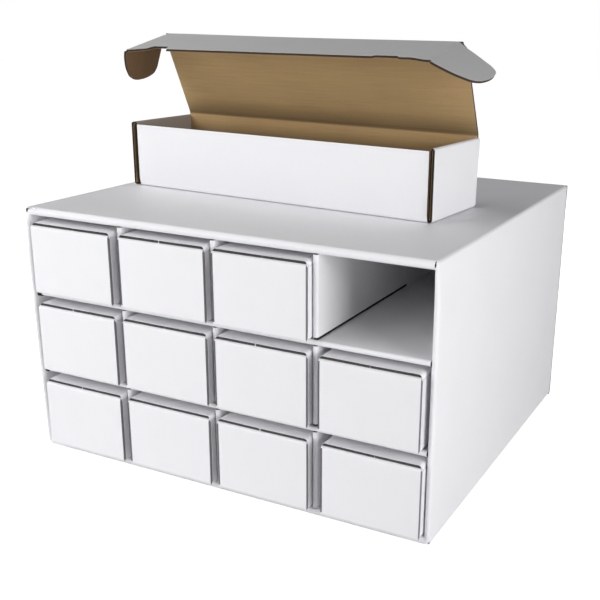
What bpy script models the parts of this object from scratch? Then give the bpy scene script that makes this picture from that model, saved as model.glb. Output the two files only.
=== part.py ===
"""Trading card drawer box in corrugated board.

A cabinet of three rows and four columns of bays holds eleven closed card boxes, which slide out
like drawers. The twelfth card box stands open on the cabinet's top, with its lid up and the tuck
flap and its two ears folded part of the way in.

The origin is the middle of the cabinet's underside: +X right, +Y back, +Z up, in metres.
"""
import math

import bmesh
import bpy
from mathutils import Matrix, Vector

# Board
board = 0.0027
gap = 0.0003
overrun = 0.004

# Card box, the same for all twelve
box_length = 0.386
box_width = 0.1007
box_end_height = 0.0726
front_wall_drop = 0.0028
roll_radius = 0.0022
tuck_room = 0.0008
tuck_floor_room = 0.0094
fold_take_up = 0.0019
ear_reach = 0.0487
ear_corner_radius = 0.020

# Cabinet: how many bays, and the room that each leaves round its box
bay_rows = 3
bay_columns = 4
bay_headroom = 0.0049
bay_side_room = 0.0044
outer_bay_extra = 0.0060
bay_back_room = 0.0367
front_overhang = 0.0104
slot_relief = 0.0018
flap_seam = 0.0012

# Which bay is empty, and how much of a bay's free width lies to the right of its box, by row and column
empty_bay = (0, 3)
right_room_shares = ((0.28, 0.09, 0.19, 0.5), (0.16, 0.22, 0.17, 0.40), (0.06, 0.09, 0.09, 0.10))

# The open box on the cabinet's roof
open_box_place_shares = (-0.0411, -0.0306)
open_box_turn = math.radians(-4.33)
lid_open_angle = math.radians(65.8)
flap_fold_angle = math.radians(78.7)
ear_fold_right = math.radians(33.0)
ear_fold_left = math.radians(60.0)
ear_root = 0.0035
ear_overhang = 0.0085
notch_width = 0.0080
notch_depth = 0.0022
notch_place_share = 0.085

# Points between the ear's root and its tail: shares of its length along the crease and of its reach
ear_edge_shares = (
    (0.017, 0.15), (0.012, 0.37), (0.013, 0.64), (0.022, 0.84), (0.069, 0.95), (0.208, 1.0), (0.42, 0.985),
    (0.605, 0.91), (0.72, 0.805), (0.785, 0.69), (0.875, 0.495), (0.947, 0.27), (0.993, 0.07),
)

# Worked out from the sizes above
double_board = 2 * board
side_wall = double_board + gap
roof_wall = board + gap + double_board
end_wall = double_board + gap
lid_underside = box_end_height + gap
lid_width = box_width - gap
lid_length = box_length - end_wall
flap_face = box_width / 2 - board - tuck_room
tuck_depth = box_end_height - board - tuck_floor_room
ear_tail = tuck_depth + ear_overhang
open_lid_width = lid_width + fold_take_up
box_inner_length = box_length - 2 * end_wall
crease_half = box_inner_length / 2 - board - tuck_room
bay_width = box_width + bay_side_room
bay_height = gap + lid_underside + board + bay_headroom
divider_pitch = bay_width + double_board
shelf_pitch = bay_height + double_board
inner_width = bay_columns * bay_width + (bay_columns - 1) * double_board + 2 * outer_bay_extra
cabinet_width = inner_width + 2 * side_wall
cabinet_height = bay_rows * bay_height + (bay_rows - 1) * double_board + 2 * roof_wall
cabinet_depth = box_length - front_overhang + bay_back_room + side_wall
cabinet_front = -cabinet_depth / 2
cabinet_back = cabinet_depth / 2
bay_back = cabinet_back - side_wall
liner_back = bay_back - gap
mid_depth = (cabinet_front + liner_back) / 2

WHITE = (0.86, 0.86, 0.88, 1.0)
KRAFT = (0.22, 0.14, 0.07, 1.0)
INNER = (0.60, 0.60, 0.61, 1.0)


def clear_scene():
    for thing in list(bpy.data.objects):
        bpy.data.objects.remove(thing, do_unlink=True)


def new_collection(name):
    collection = bpy.data.collections.new(name)
    bpy.context.scene.collection.children.link(collection)
    return collection


def board_material(name, colour):
    """Coated corrugated board: not metallic, with a soft sheen."""
    material = bpy.data.materials.new(name)
    material.use_nodes = True
    shader = material.node_tree.nodes["Principled BSDF"]
    shader.inputs["Base Color"].default_value = colour
    shader.inputs["Roughness"].default_value = 0.55
    shader.inputs["Metallic"].default_value = 0.0
    return material


def add_object(name, mesh, collection, material=None):
    thing = bpy.data.objects.new(name, mesh)
    collection.objects.link(thing)
    if material is not None and not mesh.materials:
        mesh.materials.append(material)
    return thing


def block_mesh(name, low, high):
    """A cube primitive stretched to the two corners."""
    low, high = Vector(low), Vector(high)
    shape = bmesh.new()
    size = high - low
    place = Matrix.Translation((low + high) / 2) @ Matrix.Diagonal((*size, 1.0))
    bmesh.ops.create_cube(shape, size=1.0, matrix=place)
    mesh = bpy.data.meshes.new(name)
    shape.to_mesh(mesh)
    shape.free()
    return mesh


def round_edges(mesh, chosen, radius, segments):
    """Bevel the mesh edges for which chosen(first_point, second_point) is true."""
    shape = bmesh.new()
    shape.from_mesh(mesh)
    edges = [edge for edge in shape.edges if chosen(edge.verts[0].co, edge.verts[1].co)]
    bmesh.ops.bevel(shape, geom=edges, offset=radius, segments=segments, profile=0.5, affect="EDGES")
    shape.to_mesh(mesh)
    shape.free()


def panel(name, low, high, collection, material):
    """A flat board between two corners, its origin at its middle."""
    middle = (Vector(low) + Vector(high)) / 2
    mesh = block_mesh(name, Vector(low) - middle, Vector(high) - middle)
    thing = add_object(name, mesh, collection, material)
    thing.location = middle
    return thing


def outline_mesh(name, points, thickness):
    """A flat outline in X and Y made as a filled 2D curve, thickness centred on its plane."""
    curve = bpy.data.curves.new(name, "CURVE")
    curve.dimensions = "2D"
    curve.fill_mode = "BOTH"
    curve.extrude = thickness / 2
    spline = curve.splines.new("POLY")
    spline.points.add(len(points) - 1)
    for point, (x, y) in zip(spline.points, points):
        point.co = (x, y, 0.0, 1.0)
    spline.use_cyclic_u = True
    guide = bpy.data.objects.new(name, curve)
    bpy.context.scene.collection.objects.link(guide)
    bpy.context.view_layer.update()
    evaluated = guide.evaluated_get(bpy.context.evaluated_depsgraph_get())
    mesh = bpy.data.meshes.new_from_object(evaluated)
    bpy.data.objects.remove(guide, do_unlink=True)
    shape = bmesh.new()
    shape.from_mesh(mesh)
    bmesh.ops.remove_doubles(shape, verts=shape.verts, dist=gap / 10)
    bmesh.ops.recalc_face_normals(shape, faces=shape.faces)
    shape.to_mesh(mesh)
    shape.free()
    mesh.name = name
    return mesh


def cut(thing, name, low, high, cutters):
    """Take the block between two corners, in the thing's own axes, out of it."""
    cutter = add_object(name, block_mesh(name, low, high), cutters)
    cutter.matrix_world = thing.matrix_world
    cutter.hide_render = True
    cutter.display_type = "WIRE"
    boolean = thing.modifiers.new(name, "BOOLEAN")
    boolean.operation = "DIFFERENCE"
    boolean.solver = "EXACT"
    boolean.object = cutter
    return cutter


def bake(thing):
    """Turn the modifiers of a piece into its mesh, so that copies can share it."""
    bpy.context.view_layer.update()
    evaluated = thing.evaluated_get(bpy.context.evaluated_depsgraph_get())
    mesh = bpy.data.meshes.new_from_object(evaluated)
    mesh.name = thing.data.name
    thing.modifiers.clear()
    thing.data = mesh
    return mesh


def divider_x(number):
    """Middle of the divider after the given column, counted from 0 at the left."""
    return (number - (bay_columns - 2) / 2) * divider_pitch


def shelf_z(number):
    """Underside of the shelf below the given row, counted from 0 at the top."""
    return cabinet_height - roof_wall - bay_height - number * shelf_pitch - double_board


def bay_sides(column):
    """The bay's left and right faces."""
    left = -inner_width / 2 if column == 0 else divider_x(column - 1) + board
    right = inner_width / 2 if column == bay_columns - 1 else divider_x(column) - board
    return left, right


def bay_floor(row):
    return cabinet_height - roof_wall - bay_height - row * shelf_pitch


def add_wrap(collection, material):
    """The outer wrap: roof, floor, two sides and the back's two closing flaps."""
    half = cabinet_width / 2
    back = cabinet_back - board - gap
    roof = cabinet_height - board
    panel("top_panel", (-half, cabinet_front, roof), (half, back, cabinet_height), collection, material)
    panel("bottom_panel", (-half, cabinet_front, 0.0), (half, back, board), collection, material)
    for name, side in (("left_side_panel", -1), ("right_side_panel", 1)):
        near, far = sorted((side * half, side * (half - board)))
        panel(name, (near, cabinet_front, board + gap), (far, back, roof - gap), collection, material)
    seam = cabinet_height / 2
    inner = cabinet_back - board
    for name, low, high in (("back_flap_lower", 0.0, seam - flap_seam / 2),
                            ("back_flap_upper", seam + flap_seam / 2, cabinet_height)):
        panel(name, (-half, inner, low), (half, cabinet_back, high), collection, material)


def add_liners(collection, material):
    """The board rolled in at the front: two plies above and below, one ply at the sides and back."""
    half = cabinet_width / 2 - board - gap
    low = board + gap
    high = cabinet_height - board - gap
    for name, base in (("top_liner", high - double_board), ("bottom_liner", low)):
        panel(name, (-half, cabinet_front, base), (half, liner_back, base + double_board), collection, material)
    for name, side in (("left_liner", -1), ("right_liner", 1)):
        near, far = sorted((side * half, side * (half - board)))
        top = cabinet_height - roof_wall - gap
        panel(name, (near, cabinet_front, roof_wall + gap), (far, liner_back, top), collection, material)
    panel("back_liner", (-half, bay_back, low), (half, bay_back + board, high), collection, material)


def add_shelves(collection, cutters, material):
    """Folded double boards across the cabinet, slotted from the back for the dividers."""
    half = inner_width / 2 - gap
    for number, name in enumerate(("shelf_upper", "shelf_lower")):
        base = shelf_z(number)
        shelf = panel(name, (-half, cabinet_front, base), (half, liner_back, base + double_board),
                      collection, material)
        bpy.context.view_layer.update()
        for column in range(bay_columns - 1):
            x = divider_x(column)
            low = Vector((x - board - gap, mid_depth - gap, base - overrun))
            high = Vector((x + board + gap, liner_back + overrun, base + double_board + overrun))
            cut(shelf, f"{name}_slot_{column}", low - shelf.location, high - shelf.location, cutters)


def add_dividers(collection, cutters, material):
    """Folded double boards from roof to floor, slotted from the front for the shelves."""
    low = roof_wall + gap
    high = cabinet_height - roof_wall - gap
    for column, name in enumerate(("divider_left", "divider_middle", "divider_right")):
        x = divider_x(column)
        start, end = (x - board, cabinet_front, low), (x + board, liner_back, high)
        divider = panel(name, start, end, collection, material)
        bpy.context.view_layer.update()
        for number in range(bay_rows - 1):
            base = shelf_z(number)
            start = Vector((x - board - overrun, cabinet_front - overrun, base - gap))
            end = Vector((x + board + overrun, mid_depth + gap, base + double_board + slot_relief))
            cut(divider, f"{name}_slot_{number}", start - divider.location, end - divider.location, cutters)


def tray_mesh(cutters):
    """A card box's tray, on its own axes: length along Y, hinge wall at -X, tuck wall at +X, base at 0.

    The two end walls are rolled over at their top and stand higher than the tuck wall.
    """
    half_width, half_length = box_width / 2, box_length / 2
    corner = Vector((half_width, half_length, box_end_height))
    mesh = block_mesh("card_box_tray", (-half_width, -half_length, 0.0), corner)

    def end_top(first, second):
        level = min(first.z, second.z) > box_end_height - gap
        return level and abs(first.y - second.y) < gap

    round_edges(mesh, end_top, roll_radius, 3)
    tray = add_object("card_box_tray_master", mesh, cutters)
    reach_x = half_width - board
    reach_y = half_length - end_wall
    top = box_end_height + overrun
    cut(tray, "tray_inside", (-reach_x, -reach_y, board), (reach_x, reach_y, top), cutters)
    cut(tray, "tray_front_step", (reach_x - board, -reach_y, box_end_height - front_wall_drop),
        (half_width + overrun, reach_y, top), cutters)
    finished = bake(tray)
    bpy.data.objects.remove(tray, do_unlink=True)
    return finished


def closed_flap_mesh():
    """The tuck flap of a closed box with both ears turned in along the end walls.

    Its top is at 0 and its outer face at 0 along X, so that it hangs from the lid's tuck edge.
    """
    half = box_inner_length / 2 - tuck_room
    plan = [(0.0, -half), (0.0, half), (-ear_reach, half), (-ear_reach, half - board), (-board, half - board),
            (-board, board - half), (-ear_reach, board - half), (-ear_reach, -half)]
    mesh = outline_mesh("card_box_tuck_flap", plan, tuck_depth)
    mesh.transform(Matrix.Translation((0.0, 0.0, -tuck_depth / 2)))

    def ear_corner(first, second):
        at_tip = max(first.x, second.x) < -ear_reach + gap
        level = abs(first.z - second.z) < gap
        return at_tip and level and max(first.z, second.z) < -tuck_depth / 2

    round_edges(mesh, ear_corner, ear_corner_radius, 4)
    return mesh


def open_flap_points():
    """The open box's tuck flap: X runs from the lid's crease to its free edge, Y along the box."""
    deep = tuck_depth
    tail = ear_tail
    run = crease_half - gap
    notch = run - 2 * run * notch_place_share
    swell = tail - deep
    points = [(gap, -run), (tail, -run), (tail - swell / 4, -run + swell), (deep, -run + 3 * swell)]
    points += [(deep, -notch - notch_width), (deep - notch_depth, -notch - notch_width + notch_depth),
               (deep - notch_depth, -notch - notch_depth), (deep, -notch)]
    points += [(deep, run - 3 * swell), (tail - swell / 4, run - swell), (tail, run), (gap, run)]
    return points


def ear_points(side):
    """An ear of the open box: X along its crease from the lid outward, Y outward from the crease."""
    length = ear_tail - ear_root
    points = [(ear_root, side * gap)]
    points += [(ear_root + along * length, side * out * ear_reach) for along, out in ear_edge_shares]
    points += [(ear_tail, side * gap)]
    return points if side > 0 else points[::-1]


def empty(name, collection, parent=None, location=(0.0, 0.0, 0.0), turn=(0.0, 0.0, 0.0)):
    """A joint axis or a group's frame."""
    thing = bpy.data.objects.new(name, None)
    thing.empty_display_size = board
    collection.objects.link(thing)
    thing.parent = parent
    thing.location = location
    thing.rotation_euler = turn
    return thing


def child(name, mesh, collection, parent, location=(0.0, 0.0, 0.0)):
    thing = add_object(name, mesh, collection)
    thing.parent = parent
    thing.location = location
    return thing


def with_material(mesh, material):
    mesh.materials.clear()
    mesh.materials.append(material)
    return mesh


def add_stored_boxes(collection, tray, lid, flap):
    """Eleven closed boxes, each a little proud of the cabinet's front."""
    for row in range(bay_rows):
        for column in range(bay_columns):
            if (row, column) == empty_bay:
                continue
            label = f"row{row + 1}_col{column + 1}"
            left, right = bay_sides(column)
            room = right - left - box_width
            x = right - room * right_room_shares[row][column] - box_width / 2
            y = cabinet_front - front_overhang + box_length / 2
            frame = empty(f"drawer_{label}", collection, location=(x, y, bay_floor(row) + gap))
            child(f"drawer_tray_{label}", tray, collection, frame)
            child(f"drawer_lid_{label}", lid, collection, frame, (-box_width / 2, 0.0, lid_underside))
            child(f"drawer_tuck_flap_{label}", flap, collection, frame,
                  (flap_face, 0.0, lid_underside - gap))


def add_open_box(collection, tray, materials):
    """The box on the cabinet's top, its long side across the cabinet and its hinge wall at the back."""
    across, along = open_box_place_shares
    place = (across * cabinet_width, along * cabinet_depth, cabinet_height + gap)
    frame = empty("display_box", collection, location=place, turn=(0.0, 0.0, open_box_turn - math.pi / 2))
    child("display_box_tray", tray, collection, frame)
    half_length = lid_length / 2
    hinge = empty("lid_hinge_axis", collection, frame, (-box_width / 2, 0.0, box_end_height + gap / 2),
                  (0.0, -lid_open_angle, 0.0))
    lid = block_mesh("display_box_lid", (0.0, -half_length, gap / 2),
                     (open_lid_width, half_length, gap / 2 + board))
    child("display_box_lid", with_material(lid, materials["lid"]), collection, hinge)
    crease = empty("tuck_flap_axis", collection, hinge, (open_lid_width + gap / 2, 0.0, 0.0),
                   (0.0, flap_fold_angle, 0.0))
    lift = Matrix.Translation((0.0, 0.0, gap / 2 + board / 2))
    flap = outline_mesh("display_box_tuck_flap", open_flap_points(), board)
    flap.transform(lift)
    child("display_box_tuck_flap", with_material(flap, materials["flap"]), collection, crease)
    for name, side, fold in (("left", -1, ear_fold_left), ("right", 1, ear_fold_right)):
        axis = empty(f"ear_{name}_axis", collection, crease, (0.0, side * crease_half, 0.0))
        axis.rotation_euler = (-side * fold, 0.0, 0.0)
        ear = outline_mesh(f"display_box_ear_{name}", ear_points(side), board)
        ear.transform(lift)
        child(f"display_box_ear_{name}", with_material(ear, materials["flap"]), collection, axis)


def main():
    clear_scene()
    parts = new_collection("trading card drawer box")
    cutters = new_collection("cutters")
    white = board_material("white_board", WHITE)
    shade = board_material("inner_board", INNER)
    kraft = board_material("kraft_board", KRAFT)
    add_wrap(parts, white)
    add_liners(parts, shade)
    add_shelves(parts, cutters, white)
    add_dividers(parts, cutters, white)
    tray = with_material(tray_mesh(cutters), white)
    lid = block_mesh("card_box_lid", (0.0, -lid_length / 2, 0.0), (lid_width, lid_length / 2, board))
    add_stored_boxes(parts, tray, with_material(lid, white), with_material(closed_flap_mesh(), white))
    add_open_box(parts, tray, {"lid": kraft, "flap": white})


main()
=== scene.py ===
"""Trading card drawer box: a white corrugated cabinet of closed card boxes, with one box open on its roof.

Every board is a flat blank that is folded along a path. Lengths are in metres, X is right, Y is back
and Z is up, as in the CAD frame that this script loads and dresses.
"""

import math

import bpy
import numpy as np
from bpy.props import FloatProperty, FloatVectorProperty, PointerProperty
from mathutils import Matrix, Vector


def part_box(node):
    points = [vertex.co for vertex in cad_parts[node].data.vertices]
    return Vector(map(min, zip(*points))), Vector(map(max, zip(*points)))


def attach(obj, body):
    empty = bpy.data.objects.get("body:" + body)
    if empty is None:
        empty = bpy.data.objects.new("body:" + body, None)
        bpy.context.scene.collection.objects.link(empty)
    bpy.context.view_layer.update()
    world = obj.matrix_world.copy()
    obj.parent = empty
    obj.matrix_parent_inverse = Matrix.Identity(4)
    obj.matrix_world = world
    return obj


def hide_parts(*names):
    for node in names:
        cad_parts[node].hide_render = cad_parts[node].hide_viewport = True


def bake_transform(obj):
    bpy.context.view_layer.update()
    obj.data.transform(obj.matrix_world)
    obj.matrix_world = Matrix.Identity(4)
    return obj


bl_info = {
    "name": "Trading card drawer box",
    "version": (1, 0, 0),
    "blender": (4, 5, 0),
    "location": "3D View > Sidebar > Card Box",
    "description": "Builds the folded boards, finishes and stage of a trading card drawer box",
    "category": "Add Mesh",
}

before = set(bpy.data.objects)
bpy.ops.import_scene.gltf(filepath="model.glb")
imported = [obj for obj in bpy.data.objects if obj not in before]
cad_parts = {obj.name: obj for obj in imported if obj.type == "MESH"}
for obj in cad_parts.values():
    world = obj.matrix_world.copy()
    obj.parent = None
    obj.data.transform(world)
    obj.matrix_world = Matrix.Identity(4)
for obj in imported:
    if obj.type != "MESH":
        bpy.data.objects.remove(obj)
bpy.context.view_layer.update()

MM = 0.001
ROWS = 3
COLUMNS = 4
EMPTY_BAY = (1, 4)
DIVIDERS = ("divider_left", "divider_middle", "divider_right")
SHELVES = ("shelf_upper", "shelf_lower")
HALF_IMAGE = 300.0
CRISP_DEGREES = 32.0


def linear(code):
    """Linear RGBA of an sRGB hex colour."""
    shares = [int(code[place:place + 2], 16) / 255 for place in (1, 3, 5)]
    channels = [share / 12.92 if share <= 0.04045 else ((share + 0.055) / 1.055) ** 2.4 for share in shares]
    return (*channels, 1.0)


def length(title, text, default):
    """A length property in metres."""
    return FloatProperty(name=title, description=text, default=default, min=0.0, precision=5, unit="LENGTH")


def colour(title, text, code):
    """A colour property whose default is an sRGB hex value."""
    return FloatVectorProperty(name=title, description=text, default=linear(code), size=4, min=0.0, max=1.0,
                               subtype="COLOR")


class CardBoxSizes(bpy.types.PropertyGroup):
    """Sizes of the board and of its folds."""
    board: length("Board", "Thickness of one corrugated ply", 2.7 * MM)
    liner: length("Liner", "Thickness of one paper liner as it shows at a cut edge", 0.42 * MM)
    flute_pitch: length("Flute pitch", "Distance from one flute to the next", 6.4 * MM)
    flute_hollow: length("Flute hollow", "How deep a cut edge is open between its flutes", 1.5 * MM)
    fold_radius: length("Fold radius", "Radius of a fold on the middle of the board", 2.1 * MM)
    wrap_corner: length("Wrap corner", "Radius of the cabinet's long outer folds", 3.2 * MM)
    wall_flare: length("Wall flare", "How far the open box's long walls turn out at their ends", 1.2 * MM)
    stored_flare: length("Stored flare", "The same on a box that its bay holds square", 0.35 * MM)
    left_bulge: length("Left bulge", "How far the cabinet's left side bows out", 4.3 * MM)
    corner_pull: length("Corner pull", "How far the cabinet's front top right corner is drawn in", 2.6 * MM)


class CardBoxColours(bpy.types.PropertyGroup):
    """Colours of the finishes. Several of them hold painted light or shade."""
    white: colour("White board", "Clay coated outer liner", "#F2F2F5")
    # Painted shade: the board inside the bays is the same white board, coloured darker
    bay: colour("Bay board", "Coated board inside the bays", "#EAEAEC")
    # Painted shade: the open lid, tuck flap and their folds are the same white board as the walls, coloured
    # darker
    greyed: colour("Greyed board", "Outer liner of the open lid and flap", "#D0D0D0")
    # Painted shade: the ears' outer liner is the same white board, coloured darker still
    shaded: colour("Shaded board", "Outer liner of the ears", "#BEBEBE")
    # Painted shade at the ears' creases, between the flap's and the ears'
    crease_shade: colour("Creased board", "Outer liner at the ears' creases", "#C8C8C8")
    # Painted shade: the turned in ply is the same white board, coloured darker
    inner_ply: colour("Inner ply", "Turned in ply of the open box's ends", "#A9A29D")
    kraft: colour("Kraft liner", "Plain inner liner", "#C4A474")
    # Painted shade: the ears' inner liner is the same kraft, coloured darker
    browned: colour("Browned liner", "Plain inner liner of the ears", "#6F5433")
    raw_edge: colour("Raw edge", "Cut corrugated edge", "#584A40")
    # Painted shade: a darker grey copy of the cut edge, for the stored boxes' lids and hinge wall ends
    painted_shade_edge: colour("Dusty edge", "Cut edge of the lids in the bays", "#666365")
    # Painted light: a lighter grey copy of the cut edge, for the stored boxes' trays
    painted_light_edge: colour("Pale edge", "Cut edge of the trays in the bays", "#9A9698")
    # Painted shade: the dark put where a hollow between boards is unlit
    slot: colour("Slot", "Unlit hollow between boards", "#262220")


def sizes():
    return bpy.context.scene.card_box_sizes


def colours():
    return bpy.context.scene.card_box_colours


# Finishes

def add_node(tree, kind, settings=None):
    """Adds a node. Each setting links another node's output, or sets a property or a socket's value."""
    node = tree.nodes.new(kind)
    for key, value in (settings or {}).items():
        if isinstance(value, bpy.types.NodeSocket):
            tree.links.new(value, node.inputs[key])
        elif isinstance(key, str) and hasattr(node, key):
            setattr(node, key, value)
        else:
            node.inputs[key].default_value = value
    return node


def new_finish(name):
    """An empty node material and its tree."""
    material = bpy.data.materials.new(name)
    material.use_nodes = True
    material.node_tree.nodes.clear()
    return material, material.node_tree


def shade(value, factor):
    """A linear colour made lighter or darker by a factor."""
    return (*[min(1.0, channel * factor) for channel in value[:3]], 1.0)


def noise(tree, where, size, detail):
    """A soft random pattern whose spots are about a given size."""
    return add_node(tree, "ShaderNodeTexNoise",
                    {"Scale": 1 / size, "Detail": detail, "Vector": where}).outputs[0]


def washboard(tree, where, distortion):
    """Slightly uneven waves that are as far apart as the flutes."""
    scale = math.pi / 10 / sizes().flute_pitch
    return add_node(tree, "ShaderNodeTexWave",
                    {"wave_type": "BANDS", "bands_direction": "Y", "Scale": scale,
                     "Distortion": distortion, "Detail": 1.0, "Vector": where}).outputs["Fac"]


def mix(tree, share, first, second, kind="RGBA", blend="MIX"):
    """A mix of two colours, or of two levels where the kind is FLOAT."""
    socket, result = (6, 2) if kind == "RGBA" else (2, 0)
    return add_node(tree, "ShaderNodeMix",
                    {"data_type": kind, "blend_type": blend, 0: share, socket: first,
                     socket + 1: second}).outputs[result]


def add_surface(tree, tint, roughness, index, relief, strength, depth):
    """The shader of a finish, whose normals are bent by its relief."""
    bump = add_node(tree, "ShaderNodeBump", {"Strength": strength, "Distance": depth, "Height": relief})
    shader = add_node(tree, "ShaderNodeBsdfPrincipled",
                      {"Base Color": tint, "Roughness": roughness, "IOR": index, "Normal": bump.outputs[0]})
    add_node(tree, "ShaderNodeOutputMaterial", {"Surface": shader.outputs[0]})


def coated_board(name, base, on_blank=True):
    """Clay coated white liner on corrugated board.

    The eye sees a clean white with a soft satin sheen, a faint mottle a few centimetres across, and the
    flutes showing through as the faintest washboard.
    """
    material, tree = new_finish(name)
    where = add_node(tree, "ShaderNodeTexCoord").outputs["UV" if on_blank else "Object"]
    cloudy = noise(tree, where, size=45 * MM, detail=3.0)
    tooth = noise(tree, where, size=1.1 * MM, detail=2.0)
    tint = mix(tree, cloudy, shade(base, 0.965), base)
    satin = add_node(tree, "ShaderNodeMapRange", {"To Min": 0.46, "To Max": 0.60, "Value": cloudy})
    relief = mix(tree, 0.35, tooth, washboard(tree, where, distortion=0.6), kind="FLOAT")
    add_surface(tree, tint, satin.outputs[0], index=1.47, relief=relief, strength=0.10, depth=0.12 * MM)
    return material


def kraft_liner(name, base, fade=(0.0, 1.0, 1.0, 1.0)):
    """Uncoated brown kraft paper.

    The eye sees a matt tan with long fibre streaks in the direction of the flutes, small darker flecks
    and the washboard of the flutes beneath. Fade is painted light and shade: it holds two places across
    the flutes and how bright the paper is painted there.
    """
    material, tree = new_finish(name)
    where = add_node(tree, "ShaderNodeTexCoord").outputs["UV"]
    drawn = add_node(tree, "ShaderNodeMapping", {"Scale": (16.0, 380.0, 16.0), "Vector": where})
    streaks = add_node(tree, "ShaderNodeTexNoise",
                       {"Scale": 1.0, "Detail": 4.0, "Roughness": 0.6, "Vector": drawn.outputs[0]})
    fleck = noise(tree, where, size=1.6 * MM, detail=3.0)
    cloudy = noise(tree, where, size=60 * MM, detail=2.0)
    streaky = mix(tree, streaks.outputs[0], shade(base, 0.64), shade(base, 1.26))
    flecked = mix(tree, 0.35, streaky, fleck, blend="MULTIPLY")
    clouded = mix(tree, cloudy, flecked, shade(base, 0.92))
    # Painted light and shade: the colour is scaled from one level to another between two places across the
    # flutes
    spot = add_node(tree, "ShaderNodeSeparateXYZ", {0: where})
    level = add_node(tree, "ShaderNodeMapRange",
                     {"From Min": fade[0], "From Max": fade[1], "To Min": fade[2], "To Max": fade[3],
                      "Value": spot.outputs["Y"]})
    painted_light_and_shade = add_node(tree, "ShaderNodeVectorMath",
                     {"operation": "SCALE", 0: clouded, "Scale": level.outputs[0]})
    relief = mix(tree, 0.5, fleck, washboard(tree, where, distortion=0.8), kind="FLOAT")
    add_surface(tree, painted_light_and_shade.outputs[0], roughness=0.82, index=1.45, relief=relief, strength=0.25,
                depth=0.15 * MM)
    return material


def kraft_by_the_fold(name, base):
    """Kraft on the open lid, with painted shade that darkens it towards the fold at its foot."""
    return kraft_liner(name, base, (6 * MM, 25 * MM, 0.58, 1.0))


def kraft_over_the_fold(name, base):
    """Kraft on the fold itself, with painted light and shade: a painted highlight in a band below, and a
    painted dark line of shade at the fold.
    """
    return kraft_liner(name, base, (4.5 * MM, 6.5 * MM, 1.3, 0.5))


def kraft_in_the_tray(name, base):
    """Kraft in the open tray, with painted light and shade: a painted highlight along the hinge wall's top,
    and painted shade further down.
    """
    return kraft_liner(name, base, (0.0, 17 * MM, 1.3, 0.64))


def cut_edge(name, base):
    """Cut edge of corrugated paper: the eye sees short matt fibres, lighter where the liner is torn."""
    material, tree = new_finish(name)
    where = add_node(tree, "ShaderNodeTexCoord").outputs["Object"]
    fibres = noise(tree, where, size=1.2 * MM, detail=4.0)
    tint = mix(tree, fibres, shade(base, 0.62), shade(base, 1.35))
    add_surface(tree, tint, roughness=0.9, index=1.45, relief=fibres, strength=0.5, depth=0.2 * MM)
    return material


FINISHES = {
    "clay coated white board": (coated_board, "white"),
    "clay coated board, in the bays": (coated_board, "bay"),
    "greyed coated board": (coated_board, "greyed"),
    "greyed coated board, ears": (coated_board, "shaded"),
    "greyed coated board, ear creases": (coated_board, "crease_shade"),
    "dull coated inner ply": (coated_board, "inner_ply"),
    "kraft liner paper": (kraft_liner, "kraft"),
    "kraft liner paper, open lid": (kraft_by_the_fold, "kraft"),
    "kraft liner paper, hinge fold": (kraft_over_the_fold, "kraft"),
    "kraft liner paper, open tray": (kraft_in_the_tray, "kraft"),
    "browned kraft liner": (kraft_liner, "browned"),
    "cut corrugated edge": (cut_edge, "raw_edge"),
    "dusty cut edge": (cut_edge, "painted_shade_edge"),
    "pale cut edge": (cut_edge, "painted_light_edge"),
    "unlit hollow": (cut_edge, "slot"),
}


def finish(name):
    """The material of a finish, which is made when it is first asked for."""
    make, base = FINISHES[name]
    return bpy.data.materials.get(name) or make(name, getattr(colours(), base))


def finishes(coat="clay coated white board", liner="kraft liner paper", edge="cut corrugated edge"):
    """The finishes of a board: coated outside, kraft inside, cut edge."""
    return [finish(name) for name in (coat, liner, edge)]


# Places

def shift(x=0.0, y=0.0, z=0.0):
    """A 4 by 4 move."""
    move = np.eye(4)
    move[:3, 3] = (x, y, z)
    return move


def turn(axis, degrees):
    """A 4 by 4 turn about x, y or z, right handed."""
    angle = math.radians(degrees)
    first, second = {"x": (1, 2), "y": (2, 0), "z": (0, 1)}[axis]
    matrix = np.eye(4)
    matrix[first, first] = matrix[second, second] = math.cos(angle)
    matrix[second, first] = math.sin(angle)
    matrix[first, second] = -math.sin(angle)
    return matrix


def carry(matrix, points):
    """Points moved by a 4 by 4 matrix."""
    return points @ matrix[:3, :3].T + matrix[:3, 3]


def axes(first, second, third):
    """A matrix whose columns are where the three axes of a blank go."""
    matrix = np.eye(4)
    matrix[:3, 0] = first
    matrix[:3, 1] = second
    matrix[:3, 2] = third
    return matrix


# A section's two axes and the way it is carried: the section stands in the plane across that way
ALONG_X = axes((0, 1, 0), (0, 0, 1), (1, 0, 0))
ALONG_Y = axes((1, 0, 0), (0, 0, 1), (0, 1, 0))
ALONG_Z = axes((1, 0, 0), (0, 1, 0), (0, 0, 1))


def stand_on(name):
    """A move to the middle of a CAD node's underside."""
    low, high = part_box(name)
    return shift((low.x + high.x) / 2, (low.y + high.y) / 2, low.z)


# Curves

def smooth_step(value):
    """0 below 0, 1 above 1, and 3v^2 - 2v^3 between."""
    value = np.clip(value, 0.0, 1.0)
    return value * value * (3 - 2 * value)


def cubic(share, start, start_slope, end, end_slope):
    """A cubic from start to end with a given slope at both: (2s^3 - 3s^2 + 1) start
    + (s^3 - 2s^2 + s) start slope + (3s^2 - 2s^3) end + (s^3 - s^2) end slope.
    """
    square, cube = share ** 2, share ** 3
    return ((2 * cube - 3 * square + 1) * start + (cube - 2 * square + share) * start_slope
            + (3 * square - 2 * cube) * end + (cube - square) * end_slope)


def smooth_curve(knots, values, where):
    """A cubic through the values whose slope at each knot is that of its neighbours."""
    slope = np.gradient(values, knots)
    spot = np.clip(np.searchsorted(knots, where, side="right") - 1, 0, len(knots) - 2)
    width = knots[spot + 1] - knots[spot]
    return cubic((where - knots[spot]) / width, values[spot], width * slope[spot], values[spot + 1],
                 width * slope[spot + 1])


# Boards

# How squarely a rim has to face a way to count as its end, and a board whose cut edges are plain
SQUARE_ON = 0.7
PLAIN = {"flutes": None, "rows": 5}


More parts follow.
